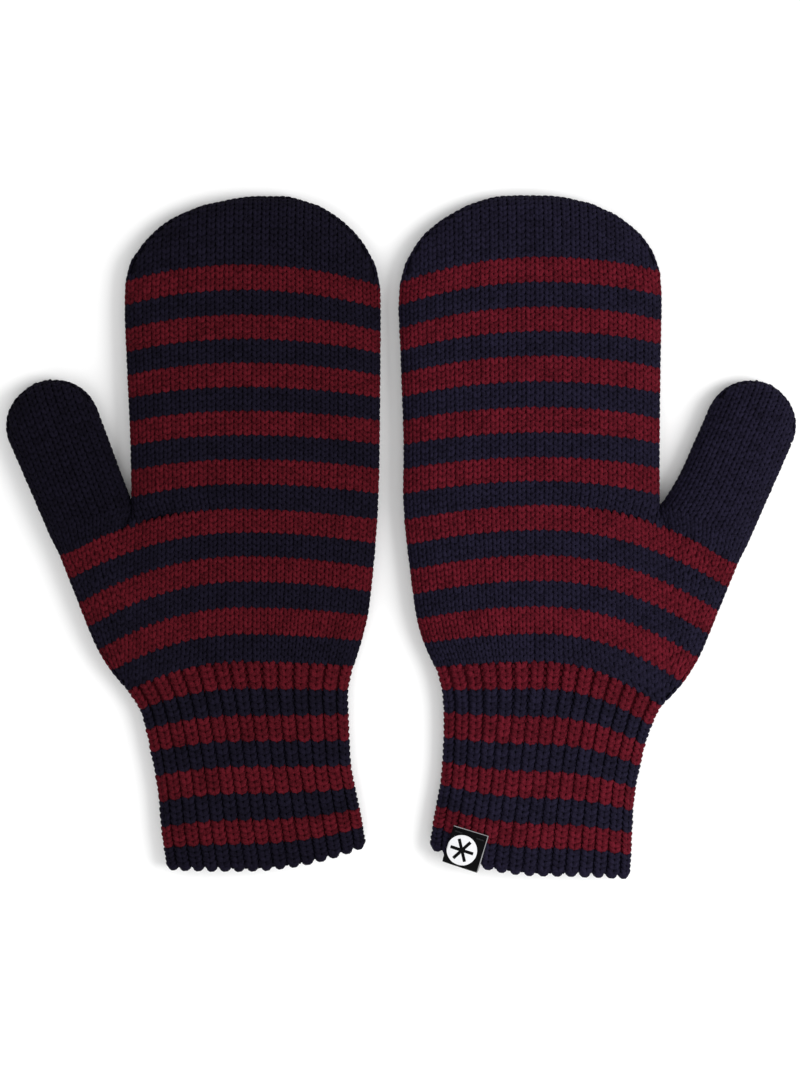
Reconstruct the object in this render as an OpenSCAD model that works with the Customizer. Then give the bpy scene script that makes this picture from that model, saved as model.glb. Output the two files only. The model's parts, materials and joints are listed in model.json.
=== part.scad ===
// Pair of striped knitted mittens, lying flat side by side with the fingertips towards +Y.
// Every colour band of the knitting is its own ring, and each mitten opens at its cuff.

/* [Pair] */
// Middle line of the left hand, from the middle of the pair
left_x = -57.9; // [-70:0.1:-52]
// Middle line of the right hand, from the middle of the pair
right_x = 50.9; // [46:0.1:70]

/* [Fabric] */
// Thickness of the knitted wall
wall = 2.6; // [1.6:0.1:3]
// Thickness of the empty mitten at the cuff
cuff_thick = 14; // [11:0.5:18]
// Thickness of the empty mitten at the palm
palm_thick = 17; // [13:0.5:22]
// Thickness of the last stripe below the fingertips
finger_thick = 15; // [12:0.5:20]
// Thickness where the fingertips close
tip_thick = 6.5; // [6:0.5:8]

/* [Thumb] */
// Half the width of the left thumb
left_thumb_half = 18.2; // [15:0.1:19]
// Half the width of the right thumb
right_thumb_half = 17.4; // [15:0.1:19]
// Thickness of the thumb tube
thumb_thick = 14.5; // [12:0.5:17]
// Length of the rounded end of the thumb
thumb_dome = 17; // [12:0.5:22]
// Length of the part of the thumb that bends, from the crotch
thumb_bend = 10; // [9:0.5:12]

/* [Label] */
// Width of the folded label
label_w = 14; // [10:0.5:18]
// Height of the label on the outside of the cuff
label_h = 13.5; // [10:0.5:16]
// Length of the label inside the cuff
label_tail = 9; // [6:0.5:11]
// Thickness of the label ribbon
label_t = 0.6; // [0.4:0.1:0.8]
// Turn of the label from the line of the cuff
label_turn = 19; // [0:1:25]

/* [Hidden] */
LAST = 24;          // number of the band edge where the fingertip piece starts
SPLIT = 14;         // number of the band edge where thumb and hand part
STEPS = 28;         // points round a ring
TIP_LEVELS = 7;     // rings of points up the fingertip piece
DOME_LEVELS = 6;    // rings of points up the rounded end of the thumb
BURGUNDY = [0.30, 0.075, 0.11];
NAVY = [0.09, 0.085, 0.13];

// Band edges, counted from the hem: [edge, height on the middle line,
// fall towards the thumb side, fall towards the outer side]
left_low = [
    [0, -129.2, 0.3, -8.7], [2, -110.8, 3.5, -3.9], [4, -90.1, 4.3, 0], [6, -70.2, 5.9, 0],
    [8, -49.1, 11.7, 2], [10, -28.1, 17.1, 3.5], [12, -8.2, 18.7, 4.7], [14, 10.1, 18.3, 3.9]
];
left_high = [
    [14, 10.1, 6.6, 3.9], [16, 29.3, 4.3, 3.5], [18, 48, 3.9, 3.5], [20, 66.7, 4.5, 4.5],
    [22, 85.4, 5.2, 6], [24, 104.9, 6.2, 7.8]
];
right_low = [
    [0, -131, 2, -10], [2, -112.3, 4.3, -6.6], [4, -92, 7.1, -3.5], [6, -70.6, 11.7, -1.2],
    [8, -49.1, 18, 2.4], [10, -27.7, 20.7, 5.1], [12, -7.8, 22.2, 5.9], [14, 11.7, 23.4, 5.8]
];
right_high = [
    [14, 11.7, 7.1, 5.8], [16, 30.2, 4.5, 4.5], [18, 49.5, 4.3, 5], [20, 69.4, 4.5, 6.5],
    [22, 88.5, 4.8, 8], [24, 107.9, 5.1, 9.6]
];

// Outlines: [height, distance from the middle line of the hand]
left_gore = [
    [-130, -33.5], [-115, -35.7], [-99, -37.2], [-88, -39.2], [-77, -41.5], [-66, -45.2],
    [-55, -53.8], [-44.5, -60.6], [-22.6, -69.6], [-0.8, -78.2], [10, -83.3]
];
left_hand = [
    [4, -47.2], [37, -47.8], [70, -49.3], [92, -50.1], [100, -49.7], [107, -47.8], [111.5, -45],
    [116, -41.1], [121, -36.1], [125.6, -28.7], [128, -22.8], [130.3, -15], [132.6, -1.8]
];
left_outer = [
    [-121, 44], [-110, 42.3], [-99, 40], [-88, 38], [-77, 37.6], [-61, 37.2], [-50, 39.6],
    [-33.5, 44.3], [-11.7, 47], [15, 48.9], [70, 49.7], [92, 49.7], [100, 49.3], [107, 47.4],
    [111.5, 45], [116, 41.5], [121, 37.6], [125.6, 31.4], [128, 27.5], [130.3, 22.4],
    [132.6, 13.5]
];
right_gore = [
    [-133, -38.6], [-121, -39.2], [-110, -39.6], [-99, -40.8], [-88, -43.1], [-77, -46.2],
    [-66, -51.7], [-55, -61.4], [-44.5, -66.9], [-22.6, -75.9], [-0.8, -84.8], [10, -89.5]
];
right_hand = [
    [4, -50.1], [37, -50.1], [70, -50.5], [92, -50.9], [100, -50.8], [107, -49.3],
    [111.5, -47], [116, -44.3], [121, -39.2], [125.6, -32.6], [128, -27.9], [130.3, -21.6],
    [132.6, -11.5]
];
right_outer = [
    [-121, 39.4], [-110, 38], [-99, 35.7], [-88, 34.5], [-77, 34.1], [-66, 34.3],
    [-55, 36.1], [-44.5, 40.8], [-33.5, 44.3], [-11.7, 47.4], [10, 49.7], [37, 49.8],
    [70, 50.9], [92, 51.7], [100, 50.9], [107, 48.9], [111.5, 46.6], [116, 43.1],
    [121, 38.4], [125.6, 31.4], [128, 27.1], [130.3, 21.6], [132.6, 13.8]
];

// One mitten: [band edges below and above the split, thumb side outlines below and above,
// outer outline, crotch, middle of the thumb's foot, end of the thumb, half thumb width]
LEFT = [
    left_low, left_high, left_gore, left_hand, left_outer,
    [-47.2, 11.3], [-61.6, -1.4], [-84.2, 59.2], left_thumb_half
];
RIGHT = [
    right_low, right_high, right_gore, right_hand, right_outer,
    [-50.1, 11.1], [-65.4, -3.4], [-92.8, 58.6], right_thumb_half
];
bow_x = -4;                                // where the band edges are highest
thickness = [
    [0, cuff_thick], [6, cuff_thick], [12, palm_thick], [20, palm_thick],
    [LAST, finger_thick]
];
web_dip = [[0, 0], [11, 0], [SPLIT, 0.45]];  // how far the palm is pinched beside the thumb
web_w = 9;                                 // half width of that pinch
edge_share = 0.42;                         // height of the side edge, as a share of thickness
flat_share = 0.45;                         // share of the underside that lies flat on the floor
clear = 0.2;                               // gap between the label and the knitting

// Smooth curve through rows of [place, value ...], column c
function row_of(t, x, i = 0) = i >= len(t) - 2 || x < t[i + 1][0] ? i : row_of(t, x, i + 1);
function rise(t, i, c) =
    let (a = max(i - 1, 0), b = min(i + 1, len(t) - 1)) (t[b][c] - t[a][c]) / (t[b][0] - t[a][0]);
function smooth(t, x, c = 1) =
    let (
        i = row_of(t, x),
        w = t[i + 1][0] - t[i][0],
        s = (x - t[i][0]) / w,
        m0 = rise(t, i, c) * w,
        m1 = rise(t, i + 1, c) * w
    )
    (2 * s ^ 3 - 3 * s ^ 2 + 1) * t[i][c] + (s ^ 3 - 2 * s ^ 2 + s) * m0
    + (3 * s ^ 2 - 2 * s ^ 3) * t[i + 1][c] + (s ^ 3 - s ^ 2) * m1;

// A band edge seen from above: [thumb side x, outer x, bow x, bow height, thumb fall, outer fall]
function low_edge(m, k) =
    let (h = smooth(m[0], k), a = smooth(m[0], k, 2), b = smooth(m[0], k, 3))
    [smooth(m[2], h - a), smooth(m[4], h - b), bow_x, h, a, b];
function high_edge(m, k) =
    let (h = smooth(m[1], k), a = smooth(m[1], k, 2), b = smooth(m[1], k, 3))
    [smooth(m[3], h - a), smooth(m[4], h - b), bow_x, h, a, b];
function edge_y(e, x) =
    x < e[2] ? e[3] - e[4] * ((e[2] - x) / (e[2] - e[0])) ^ 2
             : e[3] - e[5] * ((x - e[2]) / (e[1] - e[2])) ^ 2;

// Height of the fabric over the floor: u runs from -1 to 1 across, inset is the depth in the wall
function top_z(thick, u, inset) =
    edge_share * thick + ((1 - edge_share) * thick - inset) * sqrt(max(0, 1 - abs(u) ^ 2.6));
function under_z(thick, u, inset) =
    let (past = max(0, abs(u) - flat_share) / (1 - flat_share))
    edge_share * thick - (edge_share * thick - inset) * sqrt(max(0, 1 - past ^ 2.4));
function pinch(k, x, m) =
    1 - lookup(k, web_dip) * exp(-((x - m[5][0]) / web_w) ^ 2);

// Places round a ring: [across, +1 above or -1 below]
ROUND = [for (j = [0 : STEPS - 1]) [-cos(360 * j / STEPS), j <= STEPS / 2 ? 1 : -1]];
function fabric_z(thick, p, inset) =
    p[1] > 0 ? top_z(thick, p[0], inset) : under_z(thick, p[0], inset);

// Ring of points on a band edge, between two places across
function edge_ring(e, thick, x0, x1, inset, squeeze) = [
    for (p = ROUND)
        let (
            x = (x0 + x1) / 2 + ((x1 - x0) / 2 - inset) * p[0],
            mid = edge_share * thick
        )
        [x, edge_y(e, x), mid + (fabric_z(thick, p, inset) - mid) * squeeze(x)]
];
function flat(x) = 1;
function low_ring(m, k, inset) =
    let (e = low_edge(m, k))
    edge_ring(e, smooth(thickness, k), e[0], e[1], inset, function(x) pinch(k, x, m));
function high_ring(m, k, inset) =
    let (e = high_edge(m, k), low = low_edge(m, SPLIT))
    k == SPLIT
        ? edge_ring(low, smooth(thickness, k), m[5][0], low[1], inset, function(x) flat(x))
        : edge_ring(e, smooth(thickness, k), e[0], e[1], inset, function(x) flat(x));

// Ring of points in the fingertip piece: t runs from 0 at the last stripe to 1 at the end
function tip_ring(m, t, inset) =
    let (
        e = high_edge(m, LAST),
        end = m[4][len(m[4]) - 1][0] - inset,
        s = sin(90 * t),
        ya = (e[3] - e[4]) * (1 - s) + end * s,
        yb = (e[3] - e[5]) * (1 - s) + end * s,
        xa = smooth(m[3], ya),
        xb = smooth(m[4], yb),
        size = (xb - xa) / (e[1] - e[0]),
        bow = (e[4] + e[5]) / 2 * size ^ 2,
        at = [xa, xb, (xa + xb) / 2 + (bow_x - (e[0] + e[1]) / 2) * (1 - s), (ya + yb) / 2 + bow,
            (yb - ya) / 2 + bow, (ya - yb) / 2 + bow],
        thick = tip_thick + (finger_thick - tip_thick) * cos(90 * t)
    )
    edge_ring(at, thick, xa, xb, min(inset, (xb - xa) / 5), function(x) flat(x));

// The thumb's own frame, and a ring of points across it at a distance s from its foot
function thumb_axis(m) = (m[7] - m[6]) / norm(m[7] - m[6]);
function thumb_len(m) = norm(m[7] - m[6]);
function crotch_s(m) = (m[5] - m[6]) * thumb_axis(m);
function thumb_ring(m, s, inset) =
    let (
        d = thumb_axis(m),
        side = [d[1], -d[0]],
        into = max(0, s - (thumb_len(m) - thumb_dome)) / thumb_dome,
        round_off = sqrt(max(0.03, 1 - into ^ 2.2)),
        half = m[8] * round_off - inset * max(0.35, round_off),
        thick = tip_thick + (thumb_thick - tip_thick) * round_off
    )
    [
        for (p = ROUND)
            let (at = m[6] + d * s + side * half * p[0])
            [at[0], at[1], fabric_z(thick, p, inset)]
    ];
function thumb_foot(m, inset) =
    let (e = low_edge(m, SPLIT))
    edge_ring(e, thumb_thick, e[0], m[5][0], inset, function(x) flat(x));

// Faces of a wall between two stacks of rings, open at both ends or closed at the far end
function quad(a, b, c, d) = [[a, b, c], [a, c, d]];
function skin(levels, first, flip) = [
    for (l = [0 : levels - 2], j = [0 : STEPS - 1])
        let (
            a = first + l * STEPS + j,
            b = first + l * STEPS + (j + 1) % STEPS,
            q = flip ? quad(a, a + STEPS, b + STEPS, b) : quad(a, b, b + STEPS, a + STEPS)
        )
        each q
];
function rim(outer, inner, flip) = [
    for (j = [0 : STEPS - 1])
        let (
            n = (j + 1) % STEPS,
            q = flip ? quad(outer + j, outer + n, inner + n, inner + j)
                     : quad(outer + j, inner + j, inner + n, outer + n)
        )
        each q
];
function cap(first, centre, flip) = [
    for (j = [0 : STEPS - 1])
        let (n = (j + 1) % STEPS)
        flip ? [first + j, centre, first + n] : [first + j, first + n, centre]
];
function mean(r) = [for (c = [0 : 2]) [for (p = r) p[c]] * [for (p = r) 1] / len(r)];

// Tube of fabric from lists of outer and inner rings
module tube(outer, inner) {
    n = len(outer);
    polyhedron(
        points = [each for (r = outer) r, each for (r = inner) r],
        faces = [
            each skin(n, 0, false), each skin(n, n * STEPS, true),
            each rim(0, n * STEPS, false), each rim((n - 1) * STEPS, (2 * n - 1) * STEPS, true)
        ],
        convexity = 6
    );
}

// Cup of fabric: the rings close at the far end
module cup(outer, inner) {
    n = len(outer);
    middle = 2 * n * STEPS;
    polyhedron(
        points = [
            each for (r = outer) r, each for (r = inner) r, mean(outer[n - 1]), mean(inner[n - 1])
        ],
        faces = [
            each skin(n, 0, false), each skin(n, n * STEPS, true), each rim(0, n * STEPS, false),
            each cap((n - 1) * STEPS, middle, false), each cap((2 * n - 1) * STEPS, middle + 1, true)
        ],
        convexity = 6
    );
}

// Stripe i of a mitten, between band edges i and i + 1
module stripe(m, i) {
    color(i % 2 == 1 ? BURGUNDY : NAVY)
    if (i < SPLIT)
        tube([low_ring(m, i, 0), low_ring(m, i + 1, 0)],
             [low_ring(m, i, wall), low_ring(m, i + 1, wall)]);
    else
        tube([high_ring(m, i, 0), high_ring(m, i + 1, 0)],
             [high_ring(m, i, wall), high_ring(m, i + 1, wall)]);
}

module fingertip(m) {
    levels = [for (j = [0 : TIP_LEVELS]) j / TIP_LEVELS];
    color(NAVY)
    cup([for (t = levels) tip_ring(m, t, 0)], [for (t = levels) tip_ring(m, t, wall)]);
}

// Foot of the thumb, from the split to the far end of the part that bends
module thumb_root(m) {
    stations = [crotch_s(m), crotch_s(m) + thumb_bend];
    color(NAVY)
    tube([thumb_foot(m, 0), for (s = stations) thumb_ring(m, s, 0)],
         [thumb_foot(m, wall), for (s = stations) thumb_ring(m, s, wall)]);
}

module thumb(m) {
    start = crotch_s(m) + thumb_bend;
    straight = thumb_len(m) - thumb_dome;
    turns = [for (j = [1 : DOME_LEVELS]) sin(90 * j / DOME_LEVELS)];
    outside = [start, straight, for (t = turns) straight + thumb_dome * t];
    inside = [start, straight, for (t = turns) straight + (thumb_dome - wall) * t];
    color(NAVY)
    cup([for (s = outside) thumb_ring(m, s, 0)], [for (s = inside) thumb_ring(m, s, wall)]);
}

// Label folded over the hem: a ribbon that runs down the outside, round the edge and up inside
label_at = [26.2, -121.6];
label_steps = 6;
fold_r = wall / 2 + clear;
function hem_side(m, p, inset) =
    let (e = low_edge(m, 0), u = (p[0] - (e[0] + e[1]) / 2) / ((e[1] - e[0]) / 2 - inset))
    top_z(cuff_thick, max(-1, min(1, u)), inset);
function label_point(m, a, b) =
    label_at + [a * cos(label_turn) - b * sin(label_turn), a * sin(label_turn) + b * cos(label_turn)];
// Path along the ribbon: [place b, share of the way round the fold]
function label_path(half) = [
    [label_h / 2, 0], [0, 0], for (j = [0 : 8]) [half, j / 8], [half + label_tail, 1]
];
function label_ring(m, out) = [
    for (q = label_path(-label_h / 2), i = [0 : label_steps])
        let (
            a = label_w * (i / label_steps - 0.5),
            turn = 180 * q[1],
            r = fold_r + out,
            flat_at = label_point(m, a, q[0]),
            at = label_point(m, a, q[0] - r * sin(turn)),
            mid = hem_side(m, flat_at, 0) - wall / 2
        )
        [at[0], at[1], mid + r * cos(turn)]
];
module hem_label(m) {
    n = label_steps + 1;
    rows = len(label_path(0));
    far = rows * n;
    color([0.06, 0.06, 0.065])
    polyhedron(
        points = [each label_ring(m, label_t), each label_ring(m, 0)],
        faces = [
            for (l = [0 : rows - 2], i = [0 : n - 2])
                let (a = l * n + i)
                each concat(quad(a, a + n, a + n + 1, a + 1),
                            quad(far + a, far + a + 1, far + a + n + 1, far + a + n)),
            for (l = [0 : rows - 2])
                let (a = l * n, b = a + n - 1)
                each concat(quad(a, far + a, far + a + n, a + n),
                            quad(b, b + n, far + b + n, far + b)),
            for (i = [0 : n - 2])
                let (b = (rows - 1) * n + i)
                each concat(quad(i, i + 1, far + i + 1, far + i),
                            quad(b, far + b, far + b + 1, b + 1))
        ],
        convexity = 6
    );
}

// Two bars of thread that tack the label's upper corners
module label_stitches(m) {
    tack_r = 0.3;
    tack_len = 3;
    color([0.75, 0.74, 0.72])
    for (side = [-1, 1]) {
        ends = [for (e = [-0.5, 0.5])
            label_point(m, side * (label_w / 2 - 2.6) + e * tack_len, label_h / 2 - 1.2)];
        z = max(hem_side(m, ends[0], 0), hem_side(m, ends[1], 0)) + clear + label_t + tack_r + 0.1;
        turn = atan2(ends[1][1] - ends[0][1], ends[1][0] - ends[0][0]);
        translate([ends[0][0], ends[0][1], z]) rotate([0, 90, turn])
            cylinder(h = tack_len, r = tack_r, $fn = 16);
    }
}

function two(i) = str(i < 10 ? "0" : "", i);
function stripe_name(side, i) = i == 0 ? str(side, "_hem_welt") : str(side, "_stripe_", two(i));

module left() translate([left_x, 0, 0]) children();
module right() translate([right_x, 0, 0]) mirror([1, 0, 0]) children();

for (i = [0 : LAST - 1]) {
    left() stripe(LEFT, i);
    right() stripe(RIGHT, i);
}
left() fingertip(LEFT);  // left_fingertip
left() thumb_root(LEFT);  // left_thumb_root
left() thumb(LEFT);  // left_thumb
right() fingertip(RIGHT);  // right_fingertip
right() thumb_root(RIGHT);  // right_thumb_root
right() thumb(RIGHT);  // right_thumb
right() hem_label(RIGHT);
right() label_stitches(RIGHT);
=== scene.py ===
# %% [markdown]
# # A pair of striped knitted mittens
# Each mitten is a knitted tube: a ribbed cuff, plain knitting over the hand, a round end over the
# fingers and a smaller tube for the thumb. The measured model holds it as rings, one for each
# colour band. Here every ring is covered with real loops of yarn. The fabric could be a smooth
# shell with a bump pattern, but the loops show at the outline and cast small shadows, so they are
# modelled, and Geometry Nodes places them.

# %% Load the measured model
import json
import math

import bmesh
import bpy
import numpy as np
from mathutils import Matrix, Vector
from mathutils.bvhtree import BVHTree

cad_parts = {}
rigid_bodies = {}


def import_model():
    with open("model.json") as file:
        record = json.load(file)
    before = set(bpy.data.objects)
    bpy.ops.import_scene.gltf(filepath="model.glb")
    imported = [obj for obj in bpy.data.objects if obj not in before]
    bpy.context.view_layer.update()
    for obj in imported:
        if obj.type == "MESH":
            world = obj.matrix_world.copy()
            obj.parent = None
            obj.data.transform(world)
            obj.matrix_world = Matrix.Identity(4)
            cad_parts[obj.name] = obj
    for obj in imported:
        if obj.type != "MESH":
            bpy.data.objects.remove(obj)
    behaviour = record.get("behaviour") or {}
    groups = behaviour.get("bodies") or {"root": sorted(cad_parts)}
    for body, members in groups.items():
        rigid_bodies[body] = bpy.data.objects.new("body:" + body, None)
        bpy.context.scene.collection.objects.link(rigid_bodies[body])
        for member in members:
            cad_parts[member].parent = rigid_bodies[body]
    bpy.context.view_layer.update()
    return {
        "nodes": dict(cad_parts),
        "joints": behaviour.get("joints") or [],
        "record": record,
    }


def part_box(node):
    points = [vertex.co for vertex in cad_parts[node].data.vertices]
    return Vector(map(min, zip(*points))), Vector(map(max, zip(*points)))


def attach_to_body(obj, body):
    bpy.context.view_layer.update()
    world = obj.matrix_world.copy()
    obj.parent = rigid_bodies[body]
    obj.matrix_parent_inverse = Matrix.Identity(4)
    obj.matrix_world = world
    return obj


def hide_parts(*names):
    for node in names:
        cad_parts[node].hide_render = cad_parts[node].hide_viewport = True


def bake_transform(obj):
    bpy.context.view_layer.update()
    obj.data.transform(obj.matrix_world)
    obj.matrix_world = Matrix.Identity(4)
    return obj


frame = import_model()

# %% [markdown]
# ## The gauge of the knitting
# A knitter gives a fabric by its gauge: how wide one column of stitches (a wale) is, and how high
# one row (a course) is. Four courses make one colour band, and everything below counts in bands.

# %% Gauge and band numbers
MM = 0.001
WALE = 3.5 * MM
COURSE = 2.4 * MM
ROWS_PER_BAND = 4
RIB_BANDS = 8          # bands of ribbing, from the hem
SPLIT = 14             # band edge where the thumb leaves the hand
LAST = 24              # band edge where the fingertip starts
RIBS_PER_FACE = 15     # raised ribs on the top of a cuff, and as many underneath
YARN_SINK = 0.55 * MM  # the middle of the yarn lies this far inside the measured surface
GROUND_SINK = 0.85 * MM
INNER_SINK = 2.7 * MM
RIB_DEPTH = 1.1 * MM
SIDES = ("left", "right")
print("stitches in 100 mm:", round(0.1 / WALE), "across,", round(0.1 / COURSE), "up")

# %% [markdown]
# ## Reading the rings
# Two neighbouring rings share the points of the edge between them, so the points that ring 5 and
# ring 6 have in common are band edge 6. Seen from above each edge is one gentle bow, so it is kept
# as a curve from the thumb side to the outer side, with the height of its top and of its side.
# Everything is turned so that the thumb is on the left, and turned back at the very end.
# The edges could be typed in again by hand, but read from the rings they always fit the model.

# %% Band edges of a mitten
ACROSS = (1 - np.cos(np.linspace(0, math.pi, 49))) / 2   # places across an edge, dense at its ends
TWIN = 0.03 * MM                                         # points closer than this are the same


def node_points(name):
    data = frame["nodes"][name].data
    co = np.empty(len(data.vertices) * 3)
    data.vertices.foreach_get("co", co)
    return np.unique(np.round(co.reshape(-1, 3), 7), axis=0)


def without(points, others):
    """The points that have no twin among the others."""
    far = np.linalg.norm(points[:, None] - others[None], axis=2).min(axis=1) > TWIN
    return points[far]


class Mitten:
    """One mitten's place, and its turn: +1 with the thumb towards -X, -1 with it towards +X."""

    def __init__(self, side):
        self.side = side
        self.turn = 1 if side == "left" else -1
        low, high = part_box(f"{side}_stripe_16")
        self.middle = (low.x + high.x) / 2
        self.rings = [f"{side}_hem_welt"] + [f"{side}_stripe_{i:02d}" for i in range(1, LAST)]

    def inward(self, points):
        """World points in the mitten's own frame, with the thumb towards -X."""
        own = np.array(points, float)
        own[..., 0] = (own[..., 0] - self.middle) * self.turn
        return own

    def outward(self, points):
        """Points of the mitten's own frame, back in the world."""
        world = np.array(points, float)
        world[..., 0] = self.middle + world[..., 0] * self.turn
        return world


def edge_curve(points):
    """A band edge seen from above as (x, y) rows, with its top height and its side height."""
    p = points[np.argsort(points[:, 0])]
    x0, x1 = p[0, 0], p[-1, 0]
    x = x0 + (x1 - x0) * ACROSS
    return np.column_stack([x, np.interp(x, p[:, 0], p[:, 1])]), p[:, 2].max(), p[0, 2]


def band_edges(mitten):
    """The edges up to the split, and the edges from the split up."""
    nodes = mitten.rings + [f"{mitten.side}_fingertip"]
    pts = [mitten.inward(node_points(n)) for n in nodes]
    lower = [edge_curve(without(pts[i], pts[i + 1])) for i in range(LAST)]
    # The ring below the split also touches the thumb, so its lower edge is read from its neighbour.
    upper = {i: edge_curve(without(pts[i], pts[i - 1])) for i in (SPLIT - 2, SPLIT - 1, LAST - 1)}
    lower[SPLIT - 1] = upper[SPLIT - 2]
    return lower[:SPLIT] + [upper[SPLIT - 1]], lower[SPLIT:] + [upper[LAST - 1]]


MITTENS = {side: Mitten(side) for side in SIDES}
EDGES = {side: band_edges(MITTENS[side]) for side in SIDES}
for side in SIDES:
    hem, tip = EDGES[side][0][0], EDGES[side][1][-1]
    print(side, "hem", round(np.ptp(hem[0][:, 0]) / MM), "mm wide, last stripe",
          round(np.ptp(tip[0][:, 0]) / MM), "mm wide")

# %% [markdown]
# ## A sleeve of fabric
# A sleeve is a stack of such edges. Between them it is read with a Catmull-Rom curve, so the
# outline and the courses stay smooth at any height. A point on the fabric is given by its course,
# by its face (top or underside) and by the distance along the course.

# %% Smooth reading between edges, and the softness of the fabric
def catmull(rows, at):
    """Smooth reading of a list of arrays at a place counted in rows."""
    last = len(rows) - 1
    i = int(min(max(math.floor(at), 0), last - 1))
    s = at - i
    here, there = rows[i], rows[i + 1]
    m0 = (there - rows[i - 1]) / 2 if i > 0 else there - here
    m1 = (rows[i + 2] - here) / 2 if i + 2 <= last else there - here
    return ((2 * s**3 - 3 * s**2 + 1) * here + (s**3 - 2 * s**2 + s) * m0
            + (3 * s**2 - 2 * s**3) * there + (s**3 - s**2) * m1)


RIPPLE = 0.022
WAVES = ((95, 60, 1.0), (60, -120, 2.2), (150, 25, 0.0))   # radians for each metre in x and y, start


def ripple(x, y):
    """Soft waves of a fabric that was worn and laid down, as a share of the height."""
    return RIPPLE * sum(np.sin(x * a + y * b + start) for a, b, start in WAVES)


def dent(fold, x, y):
    """Depth of a soft fold that runs from one plan point to another and fades at both."""
    start, end, depth, width = fold
    start, way = np.array(start) * MM, (np.array(end) - start) * MM
    rel = np.stack([x, y], axis=-1) - start
    t = np.clip(rel @ way / (way @ way), 0, 1)
    far = np.linalg.norm(rel - t[:, None] * way, axis=1)
    return depth * MM * np.sin(math.pi * t) * np.exp(-((far / (width * MM)) ** 2))


print("waves of up to", round(RIPPLE * len(WAVES) * 100), "percent of the height")

# %% [markdown]
# ## Any course of a sleeve
# The sleeve is a small class: it keeps the edges, and gives one course of stitches as a row of
# points on the top or on the underside. The top is crowned and the underside lies flat in the
# middle, as a mitten on a table does. Sinking a course into the fabric gives the layers below it.

# %% The sleeve
FLAT_SHARE = 0.45   # share of the underside that lies flat
TOP_CROWN = 2.6     # the greater, the flatter the top and the rounder its edges
UNDER_CROWN = 2.4
WEB_RISE = 0.5      # how high the fabric stays where thumb and hand join below the crotch


class Sleeve:
    """A stack of edges: plan curves, top heights and side heights, each at its own place."""

    def __init__(self, edges, places, pinch=None, web=None, folds=()):
        self.plan = [np.array(e[0]) for e in edges]
        self.heights = [np.array([e[1], e[2]]) for e in edges]
        self.places = np.array(places, float)
        self.pinch = pinch
        self.web = web
        self.folds = folds

    def course(self, place, face, sink, samples=161):
        """Points of one course on one face, from the thumb side to the outer side."""
        at = np.interp(place, self.places, np.arange(len(self.places)))
        step = 1 / max(1e-9, self.places[-1] - self.places[-2])
        at += max(0, place - self.places[-1]) * step + min(0, place - self.places[0])
        plan, (top, side) = catmull(self.plan, at), catmull(self.heights, at)
        width = np.linalg.norm(plan[-1] - plan[0])
        inset = min(sink / width, 0.35)
        u = -np.cos(np.linspace(0, math.pi, samples))
        share = inset + (1 - 2 * inset) * (u + 1) / 2
        x = np.interp(share, ACROSS, plan[:, 0])
        y = np.interp(share, ACROSS, plan[:, 1])
        if face > 0:
            rise = max(top - sink - side, 0) * np.sqrt(
                np.maximum(0, 1 - np.abs(u) ** TOP_CROWN))
        else:
            past = np.maximum(0, np.abs(u) - FLAT_SHARE) / (1 - FLAT_SHARE)
            rise = -max(side - sink, 0) * np.sqrt(np.maximum(0, 1 - past**UNDER_CROWN))
        if self.pinch:
            rise = rise * self.pinch(place, x)
        if self.web:
            share = self.web(place, u)
            rise = rise * (1 - share) + face * WEB_RISE * (top - side) * share
        if face > 0:
            rise = rise * (1 + ripple(x, y)) - sum(dent(fold, x, y) for fold in self.folds)
        return np.column_stack([x, y, side + rise])


def arc(points):
    return np.concatenate([[0], np.cumsum(np.linalg.norm(np.diff(points, axis=0), axis=1))])


def along(points, lengths, places):
    return np.column_stack([np.interp(places, lengths, points[:, c]) for c in range(3)])


sample = Sleeve(EDGES["left"][0], range(SPLIT + 1)).course(RIB_BANDS, 1, 0)
print("the left wrist is", round(arc(sample)[-1] / MM), "mm over its top")

# %% [markdown]
# ## Pinch, web and folds
# Where the thumb leaves the hand the fabric is pinched between them, and just below the crotch a
# web of fabric joins the two. One soft fold runs beside the thumb's base of each mitten. All three
# are small changes of height, so they are functions of the place, and a sleeve is given the ones
# it needs. They could be sculpted on the mesh instead, but then the stitches wouldn't follow.

# %% Pinch, web and folds
PINCH = 0.45               # share of the height that the pinch takes away
PINCH_START = 11           # band where the pinch begins
PINCH_WIDE = 9 * MM
WEB_REACH = 20 * MM        # the web of fabric between thumb and hand runs up the thumb so far
WEB_BANDS = 0.75           # bands from the split up to the crotch
WEB_EDGE = 0.6             # the web begins at this share of the way from the middle to the side
FOLDS = {"left": [((-35, -18), (-16, -56), 1.3, 4.2)],    # start, end, depth, half width
         "right": [((-21, -15), (-20, -54), 1.1, 4.2)]}


def pinched(crotch_x):
    def factor(place, x):
        depth = PINCH * min(1, max(0, (place - PINCH_START) / (SPLIT - PINCH_START)))
        return 1 - depth * np.exp(-(((x - crotch_x) / PINCH_WIDE) ** 2))
    return factor


def webbed(way, first, bands):
    """Share of the web at a place: 1 where thumb and hand join, on the side u = way, fading up."""
    def share(place, u):
        t = min(1, max(0, (place - first) / bands))
        near = np.clip((way * u - WEB_EDGE) / (1 - WEB_EDGE), 0, 1)
        return (1 - t * t * (3 - 2 * t)) * near * near * (3 - 2 * near)
    return share


print("folds:", sum(len(folds) for folds in FOLDS.values()))

# %% [markdown]
# ## The fingertip's sleeve
# The fingertip is a dome. Its edges start on the last stripe and shrink to nearly nothing along a
# quarter of an ellipse, inside the outline of the measured fingertip. A sphere that is squeezed
# to fit would be quicker, but it would miss the lopsided outline that each mitten has.

# %% Sleeve of the fingertip
DOME_RINGS = 14
DOME_LOW = 0.45      # height of the outline at the top of the dome, as a share of the side's
DOME_ROUND = 0.8     # how slowly the dome's height falls towards its end


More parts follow.
